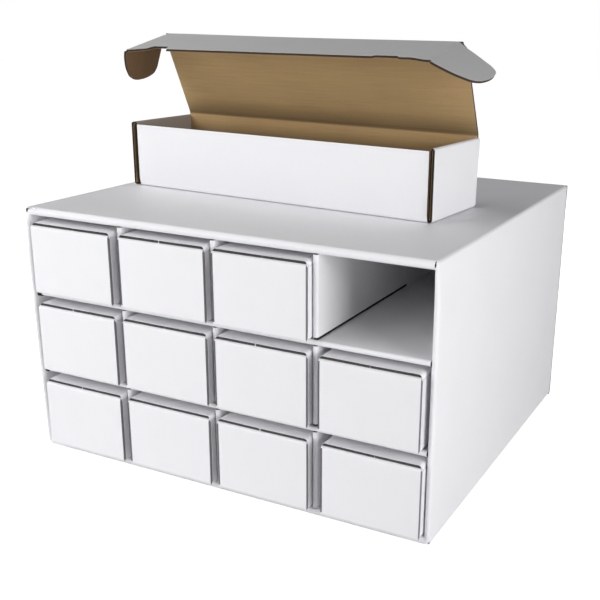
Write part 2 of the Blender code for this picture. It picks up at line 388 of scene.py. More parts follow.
class Path:
    """A line of straight runs and round folds, followed by its length.

    Each inner corner is replaced by an arc that touches both runs. The arc's points are
    centre + radius * (cos, sin) and between them the line is straight. A corner below the first limit,
    in radians, isn't rounded, and a run below the second, in metres, is left out.
    """
    STRAIGHT = 1e-4
    NOTHING = 1e-7

    def __init__(self, corners, radius, fold_points=9):
        corners = np.array(corners, float)
        radii = np.broadcast_to(radius, len(corners)).astype(float)
        runs = np.diff(corners, axis=0)
        runs /= np.linalg.norm(runs, axis=1)[:, None]
        points = [corners[:1]]
        for corner, into, out, bend in zip(corners[1:-1], runs[:-1], runs[1:], radii[1:-1]):
            angle = math.acos(float(np.clip(into @ out, -1, 1)))
            if angle < self.STRAIGHT:
                continue
            back = bend * math.tan(angle / 2)
            side = np.sign(into[0] * out[1] - into[1] * out[0])
            start = corner - into * back
            centre = start + side * bend * np.array([-into[1], into[0]])
            steps = side * np.linspace(0.0, angle, fold_points)[:, None]
            arm = start - centre
            points.append(centre + arm * np.cos(steps) + np.array([-arm[1], arm[0]]) * np.sin(steps))
        points.append(corners[-1:])
        self.line = np.concatenate(points)
        pieces = np.linalg.norm(np.diff(self.line, axis=0), axis=1)
        keep = np.concatenate([[True], pieces > self.NOTHING])
        self.line = self.line[keep]
        pieces = np.linalg.norm(np.diff(self.line, axis=0), axis=1)
        self.reach = np.concatenate([[0.0], np.cumsum(pieces)])
        self.length = self.reach[-1]
        along = np.gradient(self.line, self.reach, axis=0)
        along /= np.linalg.norm(along, axis=1)[:, None]
        self.normal = np.stack([-along[:, 1], along[:, 0]], axis=1)

    def samples(self, step):
        """Stations at every fold point, and no further apart than a step."""
        parts = [np.linspace(low, high, max(2, int(math.ceil((high - low) / step)) + 1))[:-1]
                 for low, high in zip(self.reach[:-1], self.reach[1:])]
        return np.concatenate([*parts, [self.length]])

    def at(self, station, height):
        """Points at a station along the line and a height to its left."""
        first, second = (np.interp(station, self.reach, self.line[:, part]) for part in (0, 1))
        lean, rise = (np.interp(station, self.reach, self.normal[:, part]) for part in (0, 1))
        size = np.hypot(lean, rise)
        return first + height * lean / size, second + height * rise / size


class Stack:
    """Closed boards that are gathered into one mesh."""

    def __init__(self):
        self.points, self.quads, self.finish, self.blank, self.count = [], [], [], [], 0

    def add(self, points, quads, finish, blank):
        """Takes one closed surface, turned so that its volume counts positive and its faces point out."""
        corner = points[quads]
        volume = np.einsum("ij,ij->i", corner[:, 0], np.cross(corner[:, 1], corner[:, 2])).sum()
        volume += np.einsum("ij,ij->i", corner[:, 0], np.cross(corner[:, 2], corner[:, 3])).sum()
        if volume < 0:
            quads = quads[:, ::-1]
        self.points.append(points)
        self.quads.append(quads + self.count)
        self.finish.append(finish)
        self.blank.append(blank)
        self.count += len(points)

    def repaint(self, before, after, where):
        """Changes a finish on the last surface's faces whose middles pass a test."""
        quads = self.quads[-1] - (self.count - len(self.points[-1]))
        middles = self.points[-1][quads].mean(axis=1)
        finish = np.asarray(self.finish[-1])
        self.finish[-1] = np.where((finish == before) & where(middles), after, finish)

    def build(self, name, body=None, replaced=(), materials=None):
        """Makes the mesh object, which rides on a body, if one is given, and stands for CAD nodes."""
        points = np.concatenate(self.points)
        quads = np.concatenate(self.quads)
        mesh = bpy.data.meshes.new(name)
        mesh.vertices.add(len(points))
        mesh.vertices.foreach_set("co", points.ravel())
        mesh.loops.add(quads.size)
        mesh.loops.foreach_set("vertex_index", quads.ravel().astype(np.int32))
        mesh.polygons.add(len(quads))
        mesh.polygons.foreach_set("loop_start", np.arange(0, quads.size, 4, dtype=np.int32))
        mesh.polygons.foreach_set("material_index", np.concatenate(self.finish).astype(np.int32))
        layer = mesh.uv_layers.new(name="blank")
        layer.data.foreach_set("uv", np.concatenate(self.blank)[quads.ravel()].ravel())
        for material in materials or finishes():
            mesh.materials.append(material)
        mesh.update(calc_edges=True)
        mesh.polygons.foreach_set("use_smooth", np.ones(len(quads), bool))
        mesh.set_sharp_from_angle(angle=math.radians(CRISP_DEGREES))
        if mesh.validate(verbose=False):
            raise RuntimeError(f"{name} has broken faces")
        piece = bpy.data.objects.new(name, mesh)
        bpy.context.scene.collection.objects.link(piece)
        if body:
            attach(piece, body)
        if replaced:
            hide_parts(*replaced)
        return piece


def grid_quads(index):
    """The faces between neighbouring rows and columns of a grid of point numbers."""
    return np.stack([index[:-1, :-1], index[1:, :-1], index[1:, 1:], index[:-1, 1:]], axis=-1).reshape(-1, 4)


def edge_depth(height, phase, thick):
    """How far a cut edge lies in at a height on the board: 0 at both liners, nearly 0 on the waving
    flute at most of half the core's height times the sine of the phase, and the hollow elsewhere.
    """
    paper, drawn_in = 0.30 * MM, 0.12 * MM
    core = thick / 2 - sizes().liner
    flute = 0.82 * core * np.sin(phase)
    open_share = 1 - np.exp(-((height - flute) / paper) ** 2)
    inside = smooth_step((core - np.abs(height)) / drawn_in + 0.5)
    return (drawn_in + sizes().flute_hollow * open_share) * inside


def flute_phase(along, across, out_along, out_across, flutes):
    """The flutes' phase round a rim: it runs on where the rim cuts them, and stands where the rim goes
    with them. A slow wobble keeps it from looking ruled.
    """
    wobble = 0.35 * np.sin(along * 90.0) + 0.25 * np.sin(across * 70.0 + 1.0)
    lengthwise, facing = (across, out_across) if flutes == "along" else (along, out_along)
    return wobble + np.where(np.abs(facing) > SQUARE_ON, 0.0, 2 * math.pi * lengthwise / sizes().flute_pitch)


def add_board(stack, along, across, place, thick=None, flutes="along", rows=13, skins=(0, 1, 2), nick=None,
              inner_band=True, hollow_ends=True):
    """A closed board from a blank.

    Its faces are the grid of along and across put in place at plus and minus half the thickness. Its
    rim joins their borders, and at each height it is drawn in, on the blank, by the edge's depth, so
    that a cut end shows liner, flute and hollow. The rim's first and last bands are the two liners,
    or only the last one, and at a nick all of it stays closed and white. Ends that flare out stay
    flat, because their hollows would come through the face.
    """
    thick = thick or sizes().board
    total = along.size
    index = np.arange(total).reshape(along.shape)
    border = np.concatenate([index[:-1, 0], index[-1, :-1], index[:0:-1, -1], index[0, :0:-1]])
    rim_along, rim_across = along.ravel()[border], across.ravel()[border]
    step_along = np.roll(rim_along, -1) - np.roll(rim_along, 1)
    step_across = np.roll(rim_across, -1) - np.roll(rim_across, 1)
    size = np.hypot(step_along, step_across) + 1e-12
    area = (rim_along * np.roll(rim_across, -1) - np.roll(rim_along, -1) * rim_across).sum()
    side = math.copysign(1.0, area)
    out_along, out_across = side * step_across / size, -side * step_along / size
    heights = np.linspace(-thick / 2, thick / 2, rows)[1:-1, None]
    closed = nick(rim_along, rim_across) if nick else np.zeros(len(border), bool)
    depth = np.zeros((len(heights), len(border)))
    if flutes:
        phase = flute_phase(rim_along, rim_across, out_along, out_across, flutes)
        flat = closed if hollow_ends else closed | (np.abs(out_along) > SQUARE_ON)
        depth = np.where(flat, 0.0, edge_depth(heights, phase, thick))
    outer, inner = (place(along, across, height).reshape(-1, 3) for height in (thick / 2, -thick / 2))
    rim = place(rim_along - depth * out_along, rim_across - depth * out_across,
                np.broadcast_to(heights, depth.shape)).reshape(-1, 3)
    levels = np.vstack([border + total, 2 * total + np.arange(depth.size).reshape(depth.shape), border])
    following = np.roll(levels, -1, axis=1)
    wall = np.stack([following[1:], levels[1:], levels[:-1], following[:-1]], axis=-1).reshape(-1, 4)
    face = grid_quads(index)
    bands = len(levels) - 1
    lining = max(1, int(sizes().liner / thick * bands)) if flutes else 0
    band = np.arange(bands)[:, None]
    first_band = skins[1] if inner_band else skins[2]
    rim_finish = np.where(closed | (band >= bands - lining), skins[0],
                          np.where(band < lining, first_band, skins[2]))
    blank = np.stack([along.ravel(), across.ravel()], axis=1)
    rim_blank = np.tile(blank[border], (len(heights), 1))
    stack.add(np.concatenate([outer, inner, rim]), np.concatenate([face, face[:, ::-1] + total, wall]),
              np.concatenate([np.repeat(skins[:2], len(face)), rim_finish.ravel()]),
              np.concatenate([blank, blank, rim_blank]))


def add_folded(stack, path, start, end, matrix, stations, step=8 * MM, more=(), bow=None, **board):
    """A board folded along a path and carried straight from start to end, with evenly spaced stations
    on the way and more at given places.

    A point is path(across) raised by its height, plus along in the third direction. Bow adds to the
    height.
    """
    along = np.unique(np.concatenate([np.linspace(start, end, stations), more]))
    along, across = np.meshgrid(along, path.samples(step), indexing="ij")

    def place(reach, station, height):
        height = np.broadcast_to(height, reach.shape)
        if bow:
            height = height + bow(reach, station)
        first, second = path.at(station, height)
        return carry(matrix, np.stack([first, second, reach], axis=-1))

    add_board(stack, along, across, place, **board)


def straight(first, last):
    """A path of one straight run."""
    return Path([first, last], 0.0)


# The cabinet

def rounded_frame(half_x, half_z, middle_z, radius):
    """Points round a rectangle with round corners, for each inset at once: every corner is
    centre + radius * (cos, sin), and straight runs join them, with points closer at their ends.
    Returns x and z, round by inset.
    """
    half_x, half_z, radius = (np.asarray(value, float)[None, :] for value in (half_x, half_z, radius))
    bend_points, run_points = 9, 28
    corners = []
    for number, (side_x, side_z) in enumerate(((1, 1), (-1, 1), (-1, -1), (1, -1))):
        angle = (number * 90 + np.linspace(0, 90, bend_points))[:, None] * math.pi / 180
        corners.append(np.stack([side_x * (half_x - radius) + radius * np.cos(angle),
                                 middle_z + side_z * (half_z - radius) + radius * np.sin(angle)]))
    even = np.linspace(0, 1, run_points + 2)[1:-1][:, None]
    share = 0.5 * (0.5 - 0.5 * np.cos(even * math.pi)) + 0.5 * even
    ring = []
    for corner, following in zip(corners, corners[1:] + corners[:1]):
        ring += [corner, corner[:, -1:] + (following[:, :1] - corner[:, -1:]) * share]
    return np.concatenate(ring, axis=1)


class CARDBOX_OT_cabinet_wrap(bpy.types.Operator):
    """Outer wrap of the cabinet with its board rolled in round the whole front"""
    bl_idname = "cardbox.cabinet_wrap"
    bl_label = "Cabinet Wrap"

    def execute(self, context):
        """A closed ring: the distance round a rounded rectangle, by a loop that runs forward on the
        outside, over the front hem on half an ellipse, and back on the inside.
        """
        low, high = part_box("top_panel")
        half_x, top, front, back = high.x, high.z, low.y, high.y
        wall = half_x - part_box("right_liner")[0].x
        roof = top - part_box("top_liner")[0].z
        hem = 3.4 * MM
        sweep = np.linspace(0, math.pi, 17)
        # A side's stations are even up to 12 mm behind the front, and one more leads to the hem
        run = np.concatenate([np.linspace(back, front + 12 * MM, 22), [front + 7 * MM]])
        depths = np.concatenate([run, front + hem - hem * np.sin(sweep), run[::-1]])
        inset = np.concatenate([np.zeros(len(run)), 0.5 - 0.5 * np.cos(sweep), np.ones(len(run))])
        corner = np.maximum(sizes().wrap_corner * (1 - inset), 0.3 * MM)
        x, z = rounded_frame(half_x - inset * wall, top / 2 - inset * roof, top / 2, corner)
        y = np.broadcast_to(depths, x.shape)
        x = x - self.moved_left(x, y, z, inset)
        # At all four front corners the hem is pinched in
        pinch = np.hypot(np.abs(x) - (half_x - 1.2 * MM), np.minimum(z, top - z) - 1.6 * MM)
        y = y + 6 * MM * np.exp(-(pinch / (1.3 * MM)) ** 2) * (y < front + hem)
        points = np.stack([x, y, z], axis=-1).reshape(-1, 3)
        index = np.arange(x.size).reshape(x.shape)
        quads = grid_quads(np.pad(index, ((0, 1), (0, 1)), mode="wrap"))
        # The wrap's inner face takes the bay board, with its painted shade
        finish_numbers = np.broadcast_to(np.where(inset >= 1.0, 3, 0), x.shape).reshape(-1)
        round_length = np.concatenate([[0.0], np.cumsum(np.hypot(np.diff(x[:, 0]), np.diff(z[:, 0])))])
        blank = np.stack(np.broadcast_arrays(depths[None, :], round_length[:, None]), axis=-1).reshape(-1, 2)
        stack = Stack()
        stack.add(points, quads, finish_numbers, blank)
        # The hem leaves a small hole at the front's top left corner and a slit at its top right one; their
        # dark is painted shade on the hem
        for middle_x, middle_z, wide, tall in ((-half_x - 1.6 * MM, top - 4.0 * MM, 2.4 * MM, 2.8 * MM),
                                               (half_x - 5.4 * MM, top - 3.2 * MM, 0.8 * MM, 2.6 * MM)):
            stack.repaint(0, 4, lambda spot: (spot[:, 1] < front + hem) & (
                ((spot[:, 0] - middle_x) / wide) ** 2 + ((spot[:, 2] - middle_z) / tall) ** 2 < 1))
        stack.build("cabinet_wrap", "cabinet",
                    ("top_panel", "bottom_panel", "left_side_panel", "right_side_panel",
                     "top_liner", "bottom_liner", "left_liner", "right_liner"),
                    [*finishes(), finish("clay coated board, in the bays"), finish("unlit hollow")])
        return {"FINISHED"}

    def moved_left(self, x, y, z, inset):
        """How far the sides stand left of their square places. The left side bows out by a quarter sine
        up to its peak and by a little less above it. The right side is drawn in near the roof by
        exp(-(depth below the roof / 26 mm)^2). Both fade towards the back.
        """
        low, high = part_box("top_panel")
        half_x, top, front, back = high.x, high.z, low.y, high.y
        peak, skin = 0.8, 9 * MM
        near = np.exp(-np.clip(y - front, 0, None) / (90 * MM))
        rise = z / top
        swell = np.sin(math.pi / 2 * np.clip(rise / peak, 0, 1))
        swell = swell * (1 - 0.35 * smooth_step((rise - peak) / (1 - peak)))
        bulge = sizes().left_bulge * swell * (0.45 + 0.55 * near) * smooth_step((back - y) / (120 * MM))
        pull = sizes().corner_pull * np.exp(-((top - z) / (26 * MM)) ** 2) * near * (1 - 0.75 * inset)
        return np.where(x < -half_x + skin, bulge, 0.0) + np.where(x > half_x - skin, pull, 0.0)


class CARDBOX_OT_cabinet_back(bpy.types.Operator):
    """Two flaps that close the cabinet's back, and the board behind the bays"""
    bl_idname = "cardbox.cabinet_back"
    bl_label = "Cabinet Back"

    def execute(self, context):
        """Each flap is folded over the back's edge: a short run on the roof or floor, a round fold and
        a straight run to the seam.
        """
        half = sizes().board / 2
        for name, sign, skins in (("back_flap_upper", 1, (0, 1, 2)), ("back_flap_lower", -1, (1, 0, 2))):
            low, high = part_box(name)
            edge, seam = (high.z, low.z) if sign > 0 else (low.z, high.z)
            path = Path([(low.y - 3 * MM, edge - sign * half), (high.y - half, edge - sign * half),
                         (high.y - half, seam)], sizes().fold_radius)

            def waves(along, across, high=high, sign=sign):
                """Shallow waves along the flap that begin behind its fold."""
                return -sign * 0.3 * MM * (1 - np.cos(along / high.x * 4.0)) * smooth_step(
                    (across - 9 * MM) / (40 * MM))

            stack = Stack()
            # So many stations that its cut edges can follow the flutes
            add_folded(stack, path, low.x + 0.2 * MM, high.x - 0.2 * MM, ALONG_X, stations=720,
                       step=6 * MM, flutes="across", skins=skins, bow=waves)
            stack.build(name + "_board", "cabinet", (name,))
        low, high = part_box("back_liner")
        middle = (low.y + high.y) / 2
        stack = Stack()
        add_folded(stack, straight((low.x + 3 * MM, middle), (high.x - 3 * MM, middle)), low.z + 6 * MM,
                   high.z - 6 * MM, ALONG_Z, stations=14, step=20 * MM, flutes=None, skins=(0, 0, 2))
        stack.build("back_liner_board", "cabinet", ("back_liner",),
                    finishes("clay coated board, in the bays"))
        return {"FINISHED"}


def bay_finishes():
    """Bay board with painted shade, kraft, cut edge, clean white for the noses, and the painted shade of a
    slot.
    """
    return [*finishes("clay coated board, in the bays"), finish("clay coated white board"),
            finish("unlit hollow")]


def double_fold(stack, start, end, matrix, front, back, thick, stations):
    """A board folded flat on itself: two plies side by side from the back to a round white nose in
    front. Its radius is a hair under half their spacing, so that the nose's two bends fit between them.
    """
    ply = thick / 2 - 0.05 * MM
    middle = ply / 2 + 0.04 * MM
    path = Path([(-middle, back), (-middle, front + ply / 2), (middle, front + ply / 2), (middle, back)],
                middle * 0.999, fold_points=8)
    add_folded(stack, path, start, end, matrix, stations, step=14 * MM, thick=ply, skins=(1, 0, 2), **PLAIN)
    # The nose is repainted clean white, and behind it the board keeps the bay board's painted shade
    stack.repaint(0, 3, lambda spot: spot[:, 1] < front + 3 * MM)


class CARDBOX_OT_shelves(bpy.types.Operator):
    """The two shelves, folded double with a round white nose across the front"""
    bl_idname = "cardbox.shelves"
    bl_label = "Shelves"

    def execute(self, context):
        """In front of the middle a shelf is one folded board across all columns. Behind it are four
        fingers between the dividers, each one flat board of the same thickness.
        """
        dividers = [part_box(name) for name in DIVIDERS]
        middle = (dividers[0][0].y + dividers[0][1].y) / 2
        play, cut_back = 0.3 * MM, 4.2 * MM
        for name in SHELVES:
            low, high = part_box(name)
            height = (low.z + high.z) / 2
            thick = high.z - low.z
            level = shift(z=height) @ axes((0, 0, 1), (0, 1, 0), (1, 0, 0))
            stack = Stack()
            double_fold(stack, low.x + cut_back, high.x, level, low.y, middle, thick, stations=60)
            sides = [low.x, *[side for left, right in dividers for side in (left.x - play, right.x + play)],
                     high.x]
            for left, right in zip(sides[::2], sides[1::2]):
                add_folded(stack, straight((left, height), (right, height)), middle, high.y, ALONG_Y,
                           stations=14, step=20 * MM, thick=thick, skins=(0, 0, 2), **PLAIN)
            # A dark block of painted shade in the side liner stands for a slot beside the shelf's front left
            # corner
            beside = low.x - 1.6 * MM
            add_folded(stack, straight((beside, low.z - 1.6 * MM), (beside, high.z - 0.2 * MM)),
                       low.y + 2.5 * MM, low.y + 40 * MM, ALONG_Y, stations=6, thick=7.0 * MM,
                       skins=(4, 4, 4), **PLAIN)
            stack.build(name + "_board", "cabinet", (name,), bay_finishes())
        return {"FINISHED"}


class CARDBOX_OT_dividers(bpy.types.Operator):
    """The three dividers, folded double and slotted over the shelves"""
    bl_idname = "cardbox.dividers"
    bl_label = "Dividers"

    def execute(self, context):
        """In front of the middle a divider is three folded boards, one for each row, that end above the
        shelves by the slot's play. In that play a dark sheet of painted shade stands for the dark between
        their plies. Behind the middle it is one board from roof to floor.
        """
        play, gap = 2.6 * MM, 0.3 * MM
        for name in DIVIDERS:
            low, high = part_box(name)
            middle = (low.y + high.y) / 2
            centre = (low.x + high.x) / 2
            thick = high.x - low.x
            edges = [high.z]
            for shelf in SHELVES:
                edges += [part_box(shelf)[1].z + play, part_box(shelf)[0].z - gap]
            edges.append(low.z)
            stack = Stack()
            for top, foot in zip(edges[::2], edges[1::2]):
                double_fold(stack, foot, top, shift(x=centre) @ ALONG_Z, low.y, middle, thick, stations=12)
                if foot > low.z:
                    # A dark sheet of painted shade in the slot's play under the board's foot
                    add_folded(stack, straight((centre, low.y + 2 * MM), (centre, middle)), foot - play,
                               foot + 1 * MM, ALONG_Z, stations=3, step=20 * MM, thick=thick - 0.8 * MM,
                               skins=(4, 4, 4), **PLAIN)
            add_folded(stack, straight((centre, middle), (centre, high.y)), low.z, high.z, ALONG_Z,
                       stations=16, step=15 * MM, thick=thick, skins=(0, 0, 2), **PLAIN)
            stack.build(name + "_board", "cabinet", (name,), bay_finishes())
        return {"FINISHED"}


# The card boxes

BOX = {"length": 386 * MM, "width": 100.7 * MM, "end": 72.6 * MM, "front_drop": 2.8 * MM, "double": 5.7 * MM,
       "lid_half": 190.15 * MM}


def add_tray(stack, matrix, hinge_top, flare, step=9 * MM, lean=0.0, opened=False):
    """A card box's tray on its own axes: length along Y, hinge wall at -X, tuck wall at +X, base at 0.

    One board is folded up into the two long walls, whose ends flare out beside the end walls. At each
    end a board is folded up, rolled over at the top and let down inside.
    """
    half, fold = sizes().board / 2, sizes().fold_radius
    wide, far = BOX["width"] / 2, BOX["length"] / 2
    trough = Path([(half - wide, hinge_top), (half - wide, half), (wide - half, half),
                   (wide - half, BOX["end"] - BOX["front_drop"])], fold)
    wall_run = hinge_top - half - fold
    reach = far - half - fold - 0.1 * MM

    def on_wall(across):
        """1 on both walls and 0 on the floor, with a short ramp."""
        ramp = 4 * MM
        return np.maximum(smooth_step((wall_run - across) / ramp),
                          smooth_step((across - (trough.length - wall_run)) / ramp))

    def rise(across):
        """A half sine up a wall, from just inside its free edge to the fold."""
        return np.sin(math.pi * np.clip((across - 8 * MM) / (60 * MM), 0, 1))

    def belly(along, across):
        """Walls that bow out in the middle, a hinge wall that leans out, and the flare at the ends,
        which is a quarter circle.
        """
        bow = (0.5 if opened else 0.3) * MM * (rise(across) + rise(trough.length - across))
        leaning = lean * np.clip(1 - across / wall_run, 0, 1) ** 1.5
        over = np.clip(np.abs(along) - (reach - flare), 0.0, flare)
        turned = (flare - np.sqrt(flare ** 2 - over ** 2 + 1e-14)) * on_wall(across)
        return -bow * np.cos(along / reach * math.pi / 2) ** 2 - leaning - turned

    near = np.linspace(0.0, 1.0, 6)[1:-1] * flare
    add_folded(stack, trough, -reach, reach, ALONG_Y, stations=26, step=step,
               more=[*(near - reach), *(reach - near)], bow=belly, skins=(1, 0, 2), rows=9,
               hollow_ends=False)
    if opened:
        pull_trough(stack.points[-1], wide, reach)
    stack.points[-1] = carry(matrix, stack.points[-1])
    inner = BOX["double"] - half
    roll = (inner - half) * 0.47
    for sign, skins in ((1, (1, 0, 2)), (-1, (0, 1, 2))):
        path = Path([(sign * (far - half - fold), half), (sign * (far - half), half),
                     (sign * (far - half), BOX["end"] - half), (sign * (far - inner), BOX["end"] - half),
                     (sign * (far - inner), sizes().board + 0.4 * MM)], (0, fold, roll, roll, 0))

        def hollow(along, across, sign=sign):
            """An end wall that bows in a little."""
            swell = np.sin(math.pi * np.clip((across - 6 * MM) / (60 * MM), 0, 1))
            return sign * 0.35 * MM * swell * (1 - (along / wide) ** 2)

        add_folded(stack, path, 0.15 * MM - wide, wide - 0.15 * MM, ALONG_X, stations=22, step=5 * MM,
                   flutes="across", skins=skins, inner_band=False, bow=hollow)
        if opened:
            # Painted shade: the end walls' turned in ply takes the darker inner ply colour
            stack.repaint(0, 3, lambda spot: np.abs(spot[:, 1]) < far - BOX["double"] / 2)
            spring_end(stack.points[-1], sign, wide, far)
        stack.points[-1] = carry(matrix, stack.points[-1])


def pull_trough(points, wide, reach):
    """Moves the ends of the open box's long walls along the box: the front wall's stop short of the end
    walls, and the left one of the hinge wall goes on a little.
    """
    ramp = 14 * MM
    at_end = smooth_step((np.abs(points[:, 1]) - reach + ramp) / ramp)
    at_front = np.clip(points[:, 0] / wide, 0, 1)
    at_back = np.clip(-points[:, 0] / wide, 0, 1)
    points[:, 1] += at_end * np.where(points[:, 1] < 0, 3.7 * MM * at_front - 2.2 * MM * at_back,
                                      -3.0 * MM * at_front)


def spring_end(points, sign, wide, far):
    """Moves one end wall of the open box: its back edge leans back with the hinge wall, and its inner
    ply is narrower in front. The left wall stands further out, and the right one a little further out
    at the back and in at the front.
    """
    ramp = 55 * MM
    at_back = smooth_step((ramp - wide - points[:, 0]) / ramp)
    points[:, 0] -= 2.6 * MM * (at_back * np.clip(points[:, 2] / BOX["end"], 0, 1) ** 1.5)
    tucked = smooth_step((far - 2.75 * MM - np.abs(points[:, 1])) / (0.3 * MM))
    points[:, 0] -= 3.4 * MM * tucked * np.clip(points[:, 0] / wide, 0, 1)
    toe = 0.5 + points[:, 0] / (2 * wide)
    points[:, 1] += 0.8 * MM - 1.8 * MM * toe if sign > 0 else -2.4 * MM


def add_wall_ends(stack, matrix):
    """The hinge wall's two cut ends, which show as a dark line of painted shade beside the end walls."""
    wide, far = BOX["width"] / 2, BOX["length"] / 2 - 0.9 * MM
    for end in (far, -far):
        add_folded(stack, straight((0.1 * MM - wide, end), (1.7 * MM - wide, end)), 4 * MM,
                   BOX["end"] - 1.5 * MM, matrix, stations=8, thick=1.9 * MM, skins=(3, 3, 3), **PLAIN)


def add_closed_lid(stack, matrix, nick_share):
    """A closed box's lid: up from the hinge wall on a round fold, flat across the whole box, and down on
    a second round fold towards the tuck flap. Near its middle the die left a nick in each cut end.
    """
    half, fold = sizes().board / 2, sizes().fold_radius
    wide = BOX["width"] / 2
    gap = 0.3 * MM
    level = BOX["end"] + gap + half
    tuck = wide - gap - half
    path = Path([(half - wide, level - fold - 0.2 * MM), (half - wide, level), (tuck, level),
                 (tuck, BOX["end"] - BOX["front_drop"] + 0.15 * MM)], fold)
    add_folded(stack, path, -BOX["lid_half"], BOX["lid_half"], matrix @ ALONG_Y, stations=24,
               step=sizes().flute_pitch / 10, inner_band=False,
               nick=lambda along, across: np.abs(across - nick_share * path.length) < 0.5 * MM,
               bow=lambda along, across: -0.3 * MM * np.sin(math.pi * across / path.length))


class CARDBOX_OT_stored_boxes(bpy.types.Operator):
    """Eleven closed card boxes that slide out of the bays like drawers"""
    bl_idname = "cardbox.stored_boxes"
    bl_label = "Stored Boxes"

    def execute(self, context):
        """Each box is a tray and a lid. From the second column on its hinge wall's cut ends show dark, with
        painted shade.
        """
        hinge_top = BOX["end"] + sizes().board / 2 - sizes().fold_radius
        for row in range(1, ROWS + 1):
            for column in range(1, COLUMNS + 1):
                if (row, column) == EMPTY_BAY:
                    continue
                label = f"row{row}_col{column}"
                matrix = stand_on(f"drawer_tray_{label}")
                tray = Stack()
                add_tray(tray, matrix, hinge_top, sizes().stored_flare)
                if column > 1:
                    add_wall_ends(tray, matrix)
                # The tray's cut edges are a lighter grey with painted light, and its hinge wall's ends have
                # painted shade
                tray.build(f"card_box_tray_{label}", f"drawer_{label}", (f"drawer_tray_{label}",),
                           [*finishes(edge="pale cut edge"), finish("dusty cut edge")])
                lid = Stack()
                nick_share = 0.44 + 0.03 * ((row + 2 * column) % 4)
                add_closed_lid(lid, matrix, nick_share)
                lid.build(f"card_box_lid_{label}", f"drawer_{label}", (f"drawer_lid_{label}",),
                          finishes(edge="dusty cut edge"))
        return {"FINISHED"}


# The open box

# Angles in degrees: how far the box is turned, and how far each fold is bent
OPEN = {"turn": -4.33, "lid": 65.8, "flap": 78.7, "ear_right": 33.0, "ear_left": 60.0,
        "lid_width": 102.3 * MM, "lid_shift": 0.7 * MM, "lid_half": 191.6 * MM, "lid_foot": 6 * MM,
        "corner_in": 3.4 * MM, "flap_depth": 61.8 * MM, "ear_reach": 48.7 * MM, "axis_gap": 0.15 * MM,
        "wall_lean": 1.6 * MM, "wall_drop": 3.5 * MM, "panel_gap": 0.3 * MM}
# Where the tuck flap's free edge steps back beside the left ear, and where it has a shallow bite
FLAP_STEP = (-163 * MM, -135 * MM)
FLAP_BITE = (119 * MM, 151 * MM)
# How far each ear's crease is from the middle, and where ear and flap begin and end below the lid's crease
EARS = {"left": {"side": -1, "out": 183.8 * MM, "root": 8.0 * MM, "tail": 74.5 * MM, "corner": 71.0 * MM},
        "right": {"side": 1, "out": 185.2 * MM, "root": 1.0 * MM, "tail": 66.6 * MM, "corner": 65.5 * MM}}
# An ear's edge from root to tail, in shares of its length down the crease and of its reach
EAR_EDGE = ((0.0, 0.0), (0.017, 0.15), (0.012, 0.37), (0.013, 0.64), (0.022, 0.84), (0.069, 0.95),
            (0.208, 1.0), (0.42, 0.985), (0.605, 0.91), (0.72, 0.805), (0.785, 0.69), (0.875, 0.495),
            (0.947, 0.27), (0.993, 0.07), (1.0, 0.0))


def open_places():
    """Where the open box's tray, lid, tuck flap and ears stand: each turned about the fold before it."""
    tray = stand_on("display_box_tray") @ turn("z", OPEN["turn"] - 90)
    hinge = tray @ shift(-BOX["width"] / 2, 0, BOX["end"] + OPEN["axis_gap"]) @ turn("y", -OPEN["lid"])
    crease = hinge @ shift(OPEN["lid_width"] + OPEN["axis_gap"]) @ turn("y", OPEN["flap"])
    ears = {name: crease @ shift(y=ear["side"] * ear["out"])
            @ turn("x", -ear["side"] * OPEN["ear_" + name]) for name, ear in EARS.items()}
    return tray, hinge, crease, ears


def above_axis():
    """How far the middle of a panel's board lies above the axis that the panel folds about."""
    return OPEN["axis_gap"] + sizes().board / 2


def lid_bow(along, across):
    """The lid and flap sag a little between their ends."""
    return -0.6 * MM * np.cos(along / (193 * MM) * math.pi / 2) ** 2


def between(along, span, ramp_in, ramp_out):
    """1 within a span along the box and 0 outside it, with a ramp inside each end."""
    return smooth_step((along - span[0]) / ramp_in) * smooth_step((span[1] - along) / ramp_out)


def flap_edge(along):
    """How far the tuck flap reaches at each place along the box: a nearly level line that slopes a
    little, swells into both ears, steps back beside the left ear and has a shallow bite on the right.
    """
    swell = 160 * MM
    level = OPEN["flap_depth"] - 2.6 * MM * along / EARS["left"]["out"]
    left = smooth_step((-along - swell) / (22 * MM)) * (EARS["left"]["corner"] - level)
    right = smooth_step((along - swell) / (24 * MM)) * (EARS["right"]["corner"] - level)
    return (level + left + right - 10 * MM * between(along, FLAP_STEP, 5 * MM, 4 * MM)
            - 3.4 * MM * between(along, FLAP_BITE, 5 * MM, 5 * MM))


def fold_line(degrees, lip):
    """A fold round its axis, in a plane across it: part of a ring with short straight lips."""
    middle = above_axis()
    angle = np.radians(np.linspace(0, degrees, 13))
    last = angle[-1]
    return [(-lip, middle), *zip(np.sin(angle) * middle, np.cos(angle) * middle),
            (math.sin(last) * middle + lip * math.cos(last), math.cos(last) * middle - lip * math.sin(last))]


def add_crease(name, place, degrees, span, stations, materials, bow=None):
    """The fold between two panels, carried over a span of its place's third axis. It is a piece of its
    own, from just before the fold to just behind it.
    """
    stack = Stack()
    add_folded(stack, Path(fold_line(degrees, lip=0.25 * MM), 0.0), *span, place, stations, step=1 * MM,
               bow=bow, **PLAIN)
    strip = stack.build(name, materials=materials)
    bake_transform(strip)


